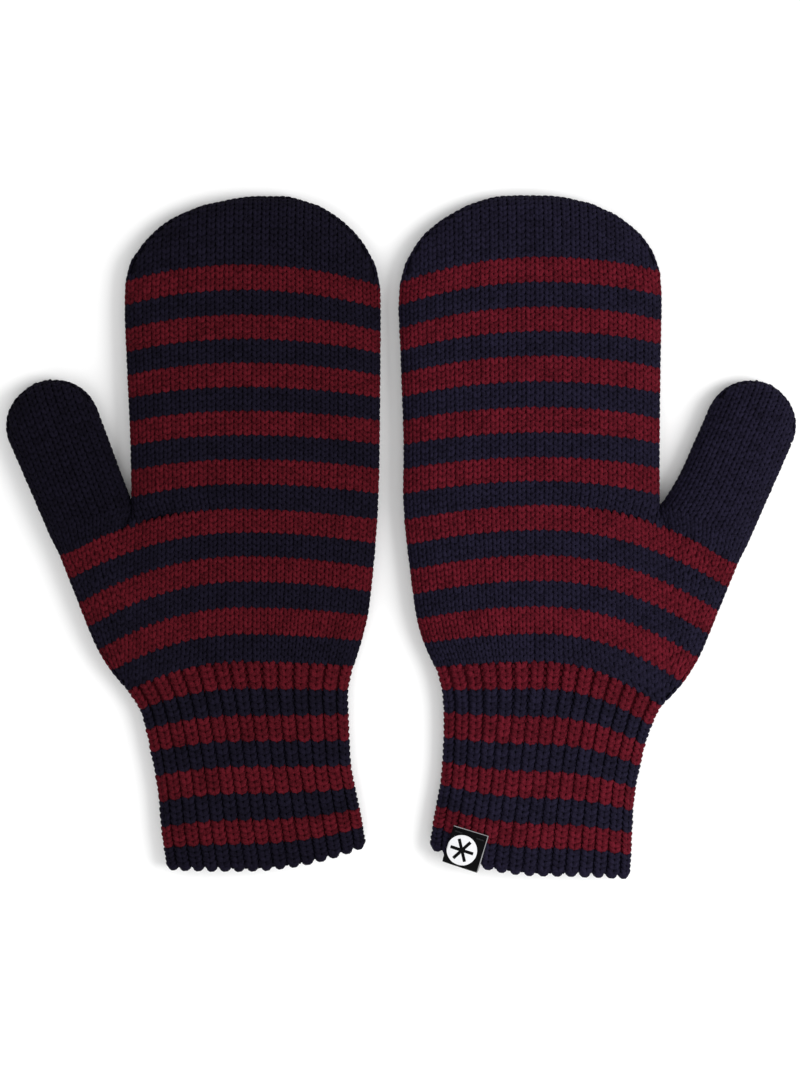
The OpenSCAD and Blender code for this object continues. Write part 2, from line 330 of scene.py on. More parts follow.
def hull(points):
    """Corners of the smallest convex outline round plan points, in order."""
    p = sorted(map(tuple, np.unique(np.round(points[:, :2], 7), axis=0)))
    chain = []
    for run in (p, p[::-1]):
        part = []
        for q in run:
            while len(part) > 1 and ((part[-1][0] - part[-2][0]) * (q[1] - part[-2][1])
                                     <= (part[-1][1] - part[-2][1]) * (q[0] - part[-2][0])):
                part.pop()
            part.append(q)
        chain += part[:-1]
    return np.array(chain)


def span_at(corners, y):
    """Least and greatest x of a convex outline at a height y."""
    xs = []
    for a, b in zip(corners, np.roll(corners, -1, axis=0)):
        if (a[1] - y) * (b[1] - y) <= 0 and a[1] != b[1]:
            xs.append(a[0] + (b[0] - a[0]) * (y - a[1]) / (b[1] - a[1]))
    return min(xs), max(xs)


def fingertip_sleeve(mitten, edge):
    plan, top, side = edge
    corners = hull(mitten.inward(node_points(f"{mitten.side}_fingertip")))
    end = corners[:, 1].max() - 0.05 * MM
    width = plan[-1, 0] - plan[0, 0]
    chord = plan[0, 1] + (plan[-1, 1] - plan[0, 1]) * (plan[:, 0] - plan[0, 0]) / width
    edges = []
    for t in np.linspace(0, 1, DOME_RINGS):
        s, c = math.sin(t * math.pi / 2), math.cos(t * math.pi / 2)
        ya, yb = (plan[0, 1] * (1 - s) + end * s, plan[-1, 1] * (1 - s) + end * s)
        xa, xb = span_at(corners, ya)[0], span_at(corners, yb)[1]
        share = (plan[:, 0] - plan[0, 0]) / width
        bow = (plan[:, 1] - chord) * ((xb - xa) / width) ** 2
        low = side * (DOME_LOW + (1 - DOME_LOW) * c)
        curve = np.column_stack([xa + (xb - xa) * share, ya + (yb - ya) * share + bow])
        edges.append((curve, low + (top - side) * c**DOME_ROUND, low))
    return spaced(edges, LAST)


def spaced(edges, first, web=None):
    """A sleeve whose places follow the length of its middle line, in bands."""
    middle = np.array([[*e[0][len(e[0]) // 2], e[1]] for e in edges])
    return Sleeve(edges, first + arc(middle) / (COURSE * ROWS_PER_BAND), None, web)


print("rings in a dome:", DOME_RINGS)

# %% [markdown]
# ## The thumb's sleeve
# The thumb is a straight tube with a round end, and it leans away from the hand. Its edges are
# laid out along the line from its hinge to its end. The first ones turn from the bow of the split
# into the thumb's own direction, so that its rows grow out of the palm's last row.

# %% Sleeve of the thumb
THUMB_RINGS = 24
THUMB_DOME = 17 * MM       # length of the round end
THUMB_SIDE = 0.42          # height of the side edge, as a share of the thumb's thickness
THUMB_BOW = 0.9 * MM       # a row of the thumb bows forward by this much
THUMB_TIP = 0.16           # width left at the very end, where the last stitches are drawn together
THUMB_ROUND = 0.92
THUMB_LOW = 0.5
THUMB_FOOT = {"left": 0.88, "right": 1.0}   # width of the thumb at its foot


def thumb_sleeve(mitten, split_edge):
    """The thumb's sleeve, the place where its bend ends and the place where its dome starts."""
    joint = next(j for j in frame["joints"] if j["name"] == f"{mitten.side}_thumb_bend")
    hinge = mitten.inward([joint["pos_m"]])[0]
    axis = np.array(joint["axis"], float) * [1, mitten.turn, 0]
    ahead = np.array([-axis[1], axis[0]])
    aside = axis[:2]

    def own(points):
        rel = points[:, :2] - hinge[:2]
        return np.column_stack([rel @ aside, rel @ ahead])

    tube = mitten.inward(node_points(f"{mitten.side}_thumb"))
    root = mitten.inward(node_points(f"{mitten.side}_thumb_root"))
    half = np.abs(own(tube)[:, 0]).max()
    start, end = own(tube)[:, 1].min(), own(tube)[:, 1].max()
    top = tube[:, 2].max()
    side = hinge[2] * 2 * THUMB_SIDE
    crotch = root[:, 0].max()
    plan, _, _ = split_edge
    foot_x = plan[0, 0] + (crotch - plan[0, 0]) * ACROSS
    foot = np.column_stack([foot_x, np.interp(foot_x, plan[:, 0], plan[:, 1])])
    straight = end - THUMB_DOME
    levels = [(level, 1) for level in np.linspace(-start, straight, THUMB_RINGS)]
    levels += [(straight + (end - straight) * math.sin(t), math.cos(t))
               for t in np.linspace(0, math.pi / 2, DOME_RINGS)[1:]]
    inner_end = hinge[:2] - ahead * start + aside * half
    web = max(0, crotch - inner_end[0]) / aside[0]
    edges = []
    for ahead_by, c in levels:
        taper = THUMB_FOOT[mitten.side]
        taper += (1 - taper) * min(1, (ahead_by + start) / (straight + start))
        wide = half * taper * max(THUMB_TIP, c**THUMB_ROUND)
        share = (2 * ACROSS - 1)[:, None]
        bow = THUMB_BOW * (1 - share**2)
        near = max(0, 1 - (ahead_by + start) / WEB_REACH) ** 2
        inner = (half * (1 - taper) + web * near) * (share + 1) / 2
        curve = (hinge[:2] + ahead * ahead_by + aside * (wide * share + inner) + ahead * bow)
        low = side * (THUMB_LOW + (1 - THUMB_LOW) * c)
        edges.append((curve, low + (top - side) * c**DOME_ROUND, low))
    between = [(foot * (1 - t) + edges[0][0] * t, top, side) for t in (0, 1 / 3, 2 / 3)]
    sleeve = spaced(between + edges, 0, webbed(1, 0, WEB_BANDS * 1.4))
    at_bend = np.interp(2 * start, [e[0] + start for e in levels], sleeve.places[len(between):])
    return sleeve, at_bend, sleeve.places[len(between) + THUMB_RINGS - 1]


print("the thumb's round end is", round(THUMB_DOME / MM), "mm long")

# %% [markdown]
# ## The sleeves of each mitten
# Below the split one wide sleeve holds the palm and the foot of the thumb. Above it there are
# three: the hand, the fingertip and the thumb. Each mitten gets its own four, because a real pair
# is never quite alike.

# %% Build the sleeves
SLEEVES = {}
THUMB_MARKS = {}
for side in SIDES:
    mitten = MITTENS[side]
    low_edges, high_edges = EDGES[side]
    crotch_x = high_edges[0][0][0, 0]
    SLEEVES[side, "low"] = Sleeve(low_edges, range(SPLIT + 1), pinched(crotch_x), None,
                                  FOLDS[side])
    SLEEVES[side, "hand"] = Sleeve(high_edges, range(SPLIT, LAST + 1), None,
                                   webbed(-1, SPLIT, WEB_BANDS))
    SLEEVES[side, "tip"] = fingertip_sleeve(mitten, high_edges[-1])
    SLEEVES[side, "thumb"], *THUMB_MARKS[side] = thumb_sleeve(mitten, low_edges[-1])
    print(side, "crotch at", round(crotch_x / MM, 1), "tip rows",
          round((SLEEVES[side, "tip"].places[-1] - LAST) * 4), "thumb rows",
          round(SLEEVES[side, "thumb"].places[-1] * 4))

# %% [markdown]
# ## Loops of yarn
# A knit stitch shows as a V: two legs of yarn that come up out of the stitch below and dive
# behind the one above. Seen from the back it is a short bar, the purl bump. Both are made once,
# as small tubes in a cell one wale wide and one course high, with only a few dozen faces, because
# thousands of copies of them follow.

# %% A tube of yarn
YARN_SIDES = 6


def tube_mesh(name, paths, sides=YARN_SIDES):
    """Tubes through rows of (x, y, z, half width, half depth), closed at both ends."""
    verts, faces, uvs = [], [], []
    for path in paths:
        base = len(verts)
        rings = len(path)
        direction = np.array(path[-1][:2]) - np.array(path[0][:2])
        across = np.array([direction[1], -direction[0]]) / np.linalg.norm(direction)
        for i, (x, y, z, wide, deep) in enumerate(path):
            for j in range(sides):
                turn = 2 * math.pi * (j + 0.5) / sides
                w = math.cos(turn) * wide
                verts.append((x + across[0] * w, y + across[1] * w, z + math.sin(turn) * deep))
                uvs.append((j / sides, i / (rings - 1)))
        for i in range(rings - 1):
            for j in range(sides):
                a, b = base + i * sides + j, base + i * sides + (j + 1) % sides
                faces.append((a, b, b + sides, a + sides))
        faces.append(tuple(base + j for j in reversed(range(sides))))
        faces.append(tuple(base + (rings - 1) * sides + j for j in range(sides)))
    data = bpy.data.meshes.new(name)
    data.from_pydata(verts, [], faces)
    layer = data.uv_layers.new(name="UVMap")
    for loop in data.loops:
        layer.data[loop.index].uv = uvs[loop.vertex_index]
    data.validate()
    thing = bpy.data.objects.new(name, data)
    bpy.context.scene.collection.objects.link(thing)
    thing.hide_render = True
    fix_normals(thing)
    return thing


def fix_normals(thing):
    """Turn every face outwards."""
    work = bmesh.new()
    work.from_mesh(thing.data)
    bmesh.ops.recalc_face_normals(work, faces=work.faces)
    work.to_mesh(thing.data)
    work.free()


print("a tube of yarn has", YARN_SIDES, "sides")

# %% [markdown]
# ## Stitch, purl bump and hem bead
# The rows of numbers below are the way of the yarn through its cell. A bought curve or a bevelled
# path would give the same tubes with more faces. The hem bead is thicker: on the cast-on edge the
# yarn lies double and rounds over each rib.

# %% Make one stitch, one purl bump and one hem bead
YARN_DEEP = 0.60 * MM   # half the thickness of the yarn, out of the fabric
KNIT_KIND, PURL_KIND, BEAD_KIND = 0, 1, 2


def leg(s):
    """One leg of a V; x and y in cells, z and depth in metres, s is -1 or +1."""
    deep = YARN_DEEP
    return [(s * 0.06, -0.62, -0.75 * MM, 0.15, 0.6 * deep), (s * 0.14, -0.25, 0.0, 0.25, deep),
            (s * 0.235, 0.20, 0.16 * MM, 0.265, deep), (s * 0.32, 0.62, 0.02 * MM, 0.245, deep),
            (s * 0.365, 0.98, -0.75 * MM, 0.15, 0.6 * deep)]


STITCH = tube_mesh("stitch_loop", [leg(-1), leg(1)])
PURL = tube_mesh("purl_bump", [[(-0.50, -0.10, -0.7 * MM, 0.30, 0.4 * MM),
                                (-0.25, 0.12, 0.1 * MM, 0.42, 0.6 * MM),
                                (0.25, 0.12, 0.1 * MM, 0.42, 0.6 * MM),
                                (0.50, -0.10, -0.7 * MM, 0.30, 0.4 * MM)]])
BEAD = tube_mesh("hem_bead", [[(-0.50, 0.50, -0.9 * MM, 0.30, 0.6 * MM),
                               (-0.38, 0.12, -0.3 * MM, 0.50, 1.0 * MM),
                               (-0.17, -0.10, -0.1 * MM, 0.60, 1.2 * MM),
                               (0.17, -0.10, -0.1 * MM, 0.60, 1.2 * MM),
                               (0.38, 0.12, -0.3 * MM, 0.50, 1.0 * MM),
                               (0.50, 0.50, -0.9 * MM, 0.30, 0.6 * MM)]], sides=8)
print("faces in a stitch:", len(STITCH.data.polygons))

# %% [markdown]
# ## Nodes written as Python
# A node tree can be clicked together, but maths on sockets is easier to read as Python. So a small
# class wraps a socket and turns + and * into Math nodes, and one function makes any other node.

# %% Shader helper
class Sock:
    """A value in a node tree that can be used in a Python expression."""

    def __init__(self, tree, socket):
        self.tree = tree
        self.socket = socket

    def part(self, name):
        """Another output of the same node."""
        return Sock(self.tree, self.socket.node.outputs[name])

    def into(self, target):
        self.tree.links.new(self.socket, target)

    def math(self, operation, *others):
        return make(self.tree, "ShaderNodeMath", {"operation": operation}, self, *others)

    def __add__(self, other):
        return self.math("ADD", other)

    def __radd__(self, other):
        return self.math("ADD", other)

    def __sub__(self, other):
        return self.math("SUBTRACT", other)

    def __rsub__(self, other):
        return make(self.tree, "ShaderNodeMath", {"operation": "SUBTRACT"}, other, self)

    def __mul__(self, other):
        return self.math("MULTIPLY", other)

    def __rmul__(self, other):
        return self.math("MULTIPLY", other)

    def __truediv__(self, other):
        return self.math("DIVIDE", other)

    def less(self, other):
        return self.math("LESS_THAN", other)

    def sin(self):
        return self.math("SINE")

    def abs(self):
        return self.math("ABSOLUTE")


def make(tree, kind, settings=None, *inputs, out=0, **named):
    """One node: its settings first, then its sockets by place or by name."""
    node = tree.nodes.new(kind)
    for key, value in (settings or {}).items():
        setattr(node, key, value)
    sockets = list(enumerate(inputs)) + list(named.items())
    for key, value in sockets:
        target = node.inputs[key.replace("_", " ") if isinstance(key, str) else key]
        if isinstance(value, Sock):
            value.into(target)
        elif value is not None:
            target.default_value = value
    return Sock(tree, node.outputs[out])


def new_material(name):
    material = bpy.data.materials.new(name)
    material.use_nodes = True
    tree = material.node_tree
    tree.nodes.clear()
    shader = tree.nodes.new("ShaderNodeBsdfPrincipled")
    end = tree.nodes.new("ShaderNodeOutputMaterial")
    tree.links.new(shader.outputs["BSDF"], end.inputs["Surface"])
    return material, tree, shader


def blend_colours(tree, factor, dark, light):
    """A colour between dark and light; a colour Mix node has its colours on sockets 6 and 7."""
    return make(tree, "ShaderNodeMix", {"data_type": "RGBA"}, factor, *[None] * 5,
                (*dark, 1), (*light, 1), out=2)


print("sockets can now be added, subtracted, multiplied and divided")

# %% [markdown]
# ## Wool
# Wool yarn is matt and a little hairy: fine fibres catch light at a grazing angle, which the
# shader's sheen gives, and each loop takes the dye a little differently. Three noises of different
# size make the colour: a cloud over many stitches, a fuzz within one, and the single fibres. A low
# tone takes a very dark colour, which paints shade on the ground fabric between the loops. The
# bump twists two plies round each other along the yarn's own UV map. An image of wool would be
# easy too, but it would repeat, and it would not know where each loop's crest is.

# %% Wool
CREVICE_SHADE_AND_MOTTLE = 0.12           # share of the crevice colour at the dark end: painted shade between the loops, and the dark spots of the mottle
PLIES = 2             # threads twisted into the yarn
TWISTS = 1.6          # turns of the plies in one stitch
CLOUD_SCALE, FUZZ_SCALE, FIBRE_SCALE = 120.0, 800.0, 1700.0


def wool(name, crevice_shade, light):
    """Yarn: a painted shade colour in the crevices, colour on the crest of each loop, fibre bump and
    sheen.
    """
    material, tree, shader = new_material(name)
    place = make(tree, "ShaderNodeTexCoord", out="Object")
    uv = make(tree, "ShaderNodeTexCoord", out="UV")
    shade = make(tree, "ShaderNodeAttribute", {"attribute_name": "shade"}, out="Fac")
    cloud = make(tree, "ShaderNodeTexNoise", None, Vector=place, Scale=CLOUD_SCALE, Detail=2.0)
    fibre = make(tree, "ShaderNodeTexNoise", None, Vector=place, Scale=FIBRE_SCALE, Detail=4.0,
                 Roughness=0.7)
    fuzz = make(tree, "ShaderNodeTexNoise", None, Vector=place, Scale=FUZZ_SCALE, Detail=2.0)
    tone = (shade * 0.80 - 0.02 + (cloud - 0.5) * 0.45 + (fibre - 0.5) * 2.4 * shade
            + (fuzz - 0.5) * 1.6 * shade)
    # the dark end is painted shade: a low tone, as on the ground between the loops, darkens the yarn
    blend_colours(tree, tone, [c * CREVICE_SHADE_AND_MOTTLE for c in crevice_shade], light).into(shader.inputs["Base Color"])
    split = make(tree, "ShaderNodeSeparateXYZ", None, uv)
    turn = split.part("X") * (2 * math.pi * PLIES)
    run = split.part("Y") * (2 * math.pi * TWISTS)
    ply = (turn + run).sin() * 0.5 + 0.5
    bump = make(tree, "ShaderNodeBump", None, Strength=0.8, Distance=0.00035,
                Height=ply * 0.35 + fibre * 1.6)
    bump.into(shader.inputs["Normal"])
    shader.inputs["Roughness"].default_value = 0.9
    shader.inputs["Specular IOR Level"].default_value = 0.03
    shader.inputs["Sheen Weight"].default_value = 0.03
    shader.inputs["Sheen Roughness"].default_value = 0.45
    shader.inputs["Sheen Tint"].default_value = (*[min(1, c * 3 + 0.1) for c in light], 1)
    return material


DYES_AND_SIDE_SHADE = {   # colour for the painted shade in the crevices, colour on the crests; the left copies are darker than the right ones: painted shade of light that falls off from the right
    ("left", "burgundy"): ((0.110, 0.0085, 0.0150), (0.0930, 0.0064, 0.0118)),
    ("left", "navy"): ((0.0160, 0.0125, 0.0240), (0.0084, 0.0070, 0.0155)),
    # shaded navy is navy darkened: painted shade on the left thumb
    ("left", "deep_navy"): ((0.0130, 0.0102, 0.0195), (0.0066, 0.0055, 0.0120)),
    ("right", "burgundy"): ((0.135, 0.0105, 0.0200), (0.1160, 0.0080, 0.0160)),
    ("right", "navy"): ((0.0210, 0.0170, 0.0330), (0.0132, 0.0112, 0.0256)),
}
WOOL = {key: wool(f"{key[0]}_{key[1]}_wool", *dye) for key, dye in DYES_AND_SIDE_SHADE.items()}
print("wool dyes:", [f"{a} {b}" for a, b in WOOL])

# %% [markdown]
# ## Placing the loops with Geometry Nodes
# Each band gets a cloud of points, one for each stitch, that know which way is out of the fabric,
# which way is up the column, and how big the cell is. The node tree puts a stitch, a purl bump or
# a hem bead on each point, turns it, gives it a small random lean and a random tone, joins the
# ground fabric under it, painted darker as shade between the loops, and makes one mesh of it all.

# %% The node tree
LOOP_SIZE = (0.95, 1.06)   # least and greatest size of a loop
LOOP_SHADE = (0.72, 1.05)  # the same for its shade
# the ground's tone lies below every loop's: painted shade between the loops
GROUND_PAINTED_SHADE = 0.5


def knit_tree():
    tree = bpy.data.node_groups.new("knit_band", "GeometryNodeTree")
    face = tree.interface
    face.new_socket("Geometry", in_out="INPUT", socket_type="NodeSocketGeometry")
    for name, kind in (("Stitch", "Object"), ("Purl", "Object"), ("Bead", "Object"),
                       ("Ground", "Object"), ("Yarn", "Material"), ("Lean", "Float"),
                       ("Seed", "Int")):
        face.new_socket(name, in_out="INPUT", socket_type=f"NodeSocket{kind}")
    face.new_socket("Geometry", in_out="OUTPUT", socket_type="NodeSocketGeometry")
    start = tree.nodes.new("NodeGroupInput")
    ends = {s.name: Sock(tree, s) for s in start.outputs if s.name}

    def attribute(name, kind):
        return make(tree, "GeometryNodeInputNamedAttribute", {"data_type": kind}, Name=name)

    def wobble(low, high, salt):
        return make(tree, "FunctionNodeRandomValue", {"data_type": "FLOAT_VECTOR"}, (low,) * 3,
                    (high,) * 3, Seed=ends["Seed"] + float(salt))

    facing = make(tree, "FunctionNodeAxesToRotation", {"primary_axis": "Z", "secondary_axis": "Y"},
                  attribute("out", "FLOAT_VECTOR"), attribute("up", "FLOAT_VECTOR"))
    lean = make(tree, "ShaderNodeVectorMath", {"operation": "SCALE"}, wobble(-1, 1, 1),
                Scale=ends["Lean"])
    lean_turn = make(tree, "FunctionNodeEulerToRotation", None, lean)
    turned = make(tree, "FunctionNodeRotateRotation", {"rotation_space": "LOCAL"}, facing, lean_turn)
    size = make(tree, "ShaderNodeVectorMath", {"operation": "MULTIPLY"},
                attribute("size", "FLOAT_VECTOR"), wobble(*LOOP_SIZE, 2))

    def joined(shapes):
        join = make(tree, "GeometryNodeJoinGeometry")
        for shape in shapes:
            shape.into(join.socket.node.inputs[0])
        return join

    def shaded(shape, domain, value):
        settings = {"data_type": "FLOAT", "domain": domain}
        return make(tree, "GeometryNodeStoreNamedAttribute", settings, Geometry=shape,
                    Name="shade", Value=value)

    kind = attribute("kind", "INT")
    copies = []
    for number, name in ((KNIT_KIND, "Stitch"), (PURL_KIND, "Purl"), (BEAD_KIND, "Bead")):
        chosen = make(tree, "FunctionNodeCompare", {"data_type": "INT", "operation": "EQUAL"},
                      None, None, kind, number)
        shape = make(tree, "GeometryNodeObjectInfo", None, ends[name], out="Geometry")
        copies.append(make(tree, "GeometryNodeInstanceOnPoints", None, ends["Geometry"],
                           Selection=chosen, Instance=shape, Rotation=turned, Scale=size,
                           out="Instances"))
    tint = make(tree, "FunctionNodeRandomValue", {"data_type": "FLOAT"}, None, None, *LOOP_SHADE,
                Seed=ends["Seed"], out=1)
    loops = make(tree, "GeometryNodeRealizeInstances", None,
                 shaded(joined(copies), "INSTANCE", tint))
    ground = make(tree, "GeometryNodeObjectInfo", None, ends["Ground"], out="Geometry")
    # the ground gets its fixed low tone here, which paints it darker as shade
    whole = joined([loops, shaded(ground, "POINT", GROUND_PAINTED_SHADE)])
    smooth = make(tree, "GeometryNodeSetShadeSmooth", None, whole)
    real = make(tree, "GeometryNodeRealizeInstances", None, smooth)
    painted = make(tree, "GeometryNodeSetMaterial", None, real, Material=ends["Yarn"])
    painted.into(tree.nodes.new("NodeGroupOutput").inputs[0])
    return tree


KNIT = knit_tree()
INPUTS = {item.name: item.identifier for item in KNIT.interface.items_tree
          if item.in_out == "INPUT"}
print("inputs of the tree:", list(INPUTS))

# %% [markdown]
# ## Running the tree
# The points carry their directions and sizes as attributes on a mesh without faces. The tree runs
# as a modifier on that mesh. What it makes is copied out as a plain mesh, and the points go away:
# a live modifier with instances would be lost when the model is exported.

# %% Knit one piece
LEAN = 0.05   # a loop leans by up to this angle, in radians


def knit(name, points, ground, yarn, seed):
    """Run the tree on a cloud of points and return the finished, plain mesh object."""
    cloud_mesh = bpy.data.meshes.new(name + "_points")
    cloud_mesh.from_pydata([tuple(p) for p in points["place"]], [], [])
    for key in ("out", "up", "size"):
        layer = cloud_mesh.attributes.new(key, "FLOAT_VECTOR", "POINT")
        layer.data.foreach_set("vector", np.array(points[key], np.float32).ravel())
    layer = cloud_mesh.attributes.new("kind", "INT", "POINT")
    layer.data.foreach_set("value", np.array(points["kind"], np.int32))
    cloud = bpy.data.objects.new(name + "_cloud", cloud_mesh)
    bpy.context.scene.collection.objects.link(cloud)
    modifier = cloud.modifiers.new("knit", "NODES")
    modifier.node_group = KNIT
    values = {"Stitch": STITCH, "Purl": PURL, "Bead": BEAD, "Ground": ground, "Yarn": yarn,
              "Lean": LEAN, "Seed": seed}
    for key, value in values.items():
        modifier[INPUTS[key]] = value
    bpy.context.view_layer.update()
    graph = bpy.context.evaluated_depsgraph_get()
    data = bpy.data.meshes.new_from_object(cloud.evaluated_get(graph))
    data.name = name
    piece = bpy.data.objects.new(name, data)
    bpy.context.scene.collection.objects.link(piece)
    for gone in (cloud, ground):
        bpy.data.objects.remove(gone)
    return piece


print("a loop leans by up to", round(math.degrees(LEAN), 1), "degrees")

# %% [markdown]
# ## Where the stitches go
# On the cuff the stitches stand in ribs: one raised column of knit stitches, then one sunken
# column of purl bumps. Over the hand they are plain. Beside the thumb extra columns are added,
# the gore: they fan out from a line that runs down from the crotch. On the domes the columns run
# straight up and end one by one at the outline, as they do on the real mitten.

# %% Columns across a course
CENTRE = 1.0 * MM      # the column that both halves of a course are counted from
GORE_START = 7.6       # band where the extra columns for the thumb begin
GORE_BOW = 0.6         # the gore's line leaves the side quickly and then runs straighter
THUMB_WALES = 6        # columns in a quarter of the thumb
HAND_WALES = 15        # columns in a quarter of the hand


def gore_line(side, place):
    """Where the extra columns meet the palm, across the mitten."""
    crotch_x = EDGES[side][1][0][0][0, 0]
    left = EDGES[side][0][int(GORE_START) + 1][0][0, 0]
    t = min(1, max(0, (place - GORE_START) / (SPLIT - GORE_START)))
    return left + (crotch_x - left) * t**GORE_BOW


def panel_lengths(side, part, place, row, lengths):
    """Lengths of the panels of a course, from the thumb side: gore, left half, right half."""
    total = lengths[-1]
    if part in ("rib", "thumb", "thumb_end"):
        return 0.0, total / 2, total / 2
    centre = np.interp(CENTRE, row[:, 0], lengths)
    if part == "palm":
        gore = np.interp(gore_line(side, place), row[:, 0], lengths)
        return gore, centre - gore, total - centre
    return 0.0, centre, total - centre


def column_counts(part, panels):
    if part == "thumb":
        return 0, THUMB_WALES, THUMB_WALES
    if part == "palm":
        return round(panels[0] / WALE), HAND_WALES, HAND_WALES
    return 0, HAND_WALES, HAND_WALES


def column_places(panels, counts):
    """Arc lengths of the columns along a course; one column stands on each side edge."""
    places, start = [], 0.0
    for length, count in zip(panels, counts):
        places.append(start + np.arange(count) * length / max(count, 1))
        start += length
    return np.concatenate(places + [[start]])


for side in SIDES:
    print(side, "gore runs from", round(gore_line(side, GORE_START) / MM), "to",
          round(gore_line(side, SPLIT) / MM), "mm beside the middle")

# %% [markdown]
# ## Direction and size of each stitch
# A stitch needs more than a place: it has to face out of the fabric and point up its column. Both
# come from small steps, along the course and to the courses just below and above it. The space to
# the next column gives its width, so the stitches grow and shrink with the fabric.

# %% Points, directions and sizes of the stitches in one course
STEP = 0.06          # small step up the fabric, in bands
SIDE_STEP = 0.3 * MM
DOME_EDGE = 0.85     # a dome's column ends this many wales before the outline
DOME_END = 0.4       # and its rows end this many bands before the top
DOME_STEPS = {}      # spacing of the columns on each dome, taken over from the course below it


def dome_places(key, panels, reach):
    """Columns of a dome: their spacing stays, and those past the outline are left out."""
    left, right = DOME_STEPS[key]
    low = np.arange(int(max(0, reach[1] - DOME_EDGE * WALE) / left), 0, -1) * -left
    high = np.arange(int(max(0, reach[2] - DOME_EDGE * WALE) / right) + 1) * right
    return panels[1] + np.concatenate([low, high])


def course_points(side, sleeve, part, place, face, sink=YARN_SINK, between=False, facing=1):
    """Stitch places of one course on one face, in world coordinates."""
    row = sleeve.course(place, face, sink)
    lengths = arc(row)
    panels = panel_lengths(side, part, place, row, lengths)
    dome = part in ("tip", "thumb_end")
    counts = column_counts(part, panels)
    if dome:
        key = (side, part, face)
        if key not in DOME_STEPS:
            wales = HAND_WALES if part == "tip" else THUMB_WALES
            DOME_STEPS[key] = (panels[1] / wales, panels[2] / wales)
        if panels[1] < DOME_EDGE * WALE or place > sleeve.places[-1] - DOME_END:
            return None

    def columns(own_panels):
        if dome:
            return dome_places(key, own_panels, panels)
        if part == "rib":
            ribs = np.arange(RIBS_PER_FACE) + (1.0 if between else 0.5)
            return ribs[ribs < RIBS_PER_FACE] * own_panels[1] * 2 / RIBS_PER_FACE
        found = column_places(own_panels, counts)
        return found if face > 0 else found[1:-1]

    at = columns(panels)
    here = along(row, lengths, at)
    ends = []
    for step in (-STEP, STEP):
        other = sleeve.course(place + step, face, sink)
        reach = arc(other)
        ends.append(along(other, reach, columns(panel_lengths(side, part, place + step, other,
                                                              reach))))
    mitten = MITTENS[side]
    right = along(row, lengths, np.minimum(at + SIDE_STEP, lengths[-1]))
    left = along(row, lengths, np.maximum(at - SIDE_STEP, 0))
    across = mitten.outward(right) - mitten.outward(left)
    up = mitten.outward(ends[1]) - mitten.outward(ends[0])
    out = np.cross(across, up) * face * mitten.turn * facing
    out /= np.maximum(np.linalg.norm(out, axis=1), 1e-12)[:, None]
    high = np.linalg.norm(up, axis=1) / (2 * STEP * ROWS_PER_BAND)
    gaps = np.gradient(at) if len(at) > 1 else np.array([WALE])
    return {"place": mitten.outward(here), "out": out, "up": up / (2 * STEP),
            "wide": np.clip(gaps, 0.8 * WALE, 1.25 * WALE),
            "high": np.clip(high, 0.8 * COURSE, (1.0 if dome else 1.35) * COURSE)}


sample = course_points("left", SLEEVES["left", "hand"], "hand", SPLIT + 1.5, 1)
print("stitches in one row over the hand:", len(sample["place"]))

# %% [markdown]
# ## The rim of a dome
# Straight columns end raggedly at a round outline. A real fingertip is grafted: one last chain of
# stitches runs round the rim and hides the ends. So does this one, and its stitches face sideways.

# %% Chain of stitches round a dome, and joining courses
CHAIN_SAMPLES = 60
CHAIN_STEP = 0.8 * MM


def outline_chain(side, sleeve, first, last):
    """Stitches that follow the rim of a dome and face sideways, so that its outline is smooth."""
    rows = [sleeve.course(p, 1, YARN_SINK) for p in np.linspace(first, last, CHAIN_SAMPLES)]
    path = np.array([r[0] for r in rows] + [r[-1] for r in rows[::-1]])
    lengths = arc(path)
    count = round(lengths[-1] / COURSE)
    at = (np.arange(count) + 0.5) * lengths[-1] / count
    way = along(path, lengths, at + CHAIN_STEP) - along(path, lengths, at - CHAIN_STEP)
    mirror = np.array([MITTENS[side].turn, 1, 1])
    out = np.column_stack([-way[:, 1], way[:, 0], np.zeros(count)])
    return {"place": MITTENS[side].outward(along(path, lengths, at)), "out": out * mirror,
            "up": way * mirror, "wide": np.full(count, WALE),
            "high": np.full(count, COURSE)}


def collect(bits):
    """Join the stitches of many courses into one set of arrays for the tree."""
    sets = {key: [] for key in ("place", "out", "up", "size", "kind")}
    for found, kind, wide in bits:
        if found is None:
            continue
        n = len(found["place"])
        width = found["wide"] if wide is None else np.full(n, wide)
        sets["place"].append(found["place"])
        sets["out"].append(found["out"])
        sets["up"].append(found["up"])
        sets["size"].append(np.column_stack([width, found["high"], np.ones(n)]))
        sets["kind"].append(np.full(n, kind))
    return {key: np.concatenate(value) for key, value in sets.items()}


rim = outline_chain("left", SLEEVES["left", "tip"], LAST, SLEEVES["left", "tip"].places[-1])
print("stitches round the left fingertip:", len(rim["place"]))

# %% [markdown]
# ## The ground fabric
# Between the loops one sees darker yarn, never the floor. So under the loops lies a thin closed
# ring of fabric, with the ribs' waves pressed into it on the cuff, outside and inside. Its tone is
# set lower than any loop's, which paints shade between the loops.

# %% One loop of points round the fabric
def loop_of(sleeve, place, sink, wave, ribs, samples):
    """One closed loop of points: the top from the thumb side, then the underside back."""
    found = []
    for face in (1, -1):
        row = sleeve.course(place, face, sink)
        lengths = arc(row)
        at = np.linspace(0, lengths[-1], samples + 1)
        points = along(row, lengths, at)
        if ribs:
            deeper = sleeve.course(place, face, sink + wave)
            reach = arc(deeper)
            low = along(deeper, reach, at / lengths[-1] * reach[-1])
            phase = 0.5 + 0.5 * np.cos(2 * math.pi * RIBS_PER_FACE * at / lengths[-1])
            points = points + (low - points) * phase[:, None]
        found.append(points[:-1] if face > 0 else points[::-1][:-1])
    return np.concatenate(found)


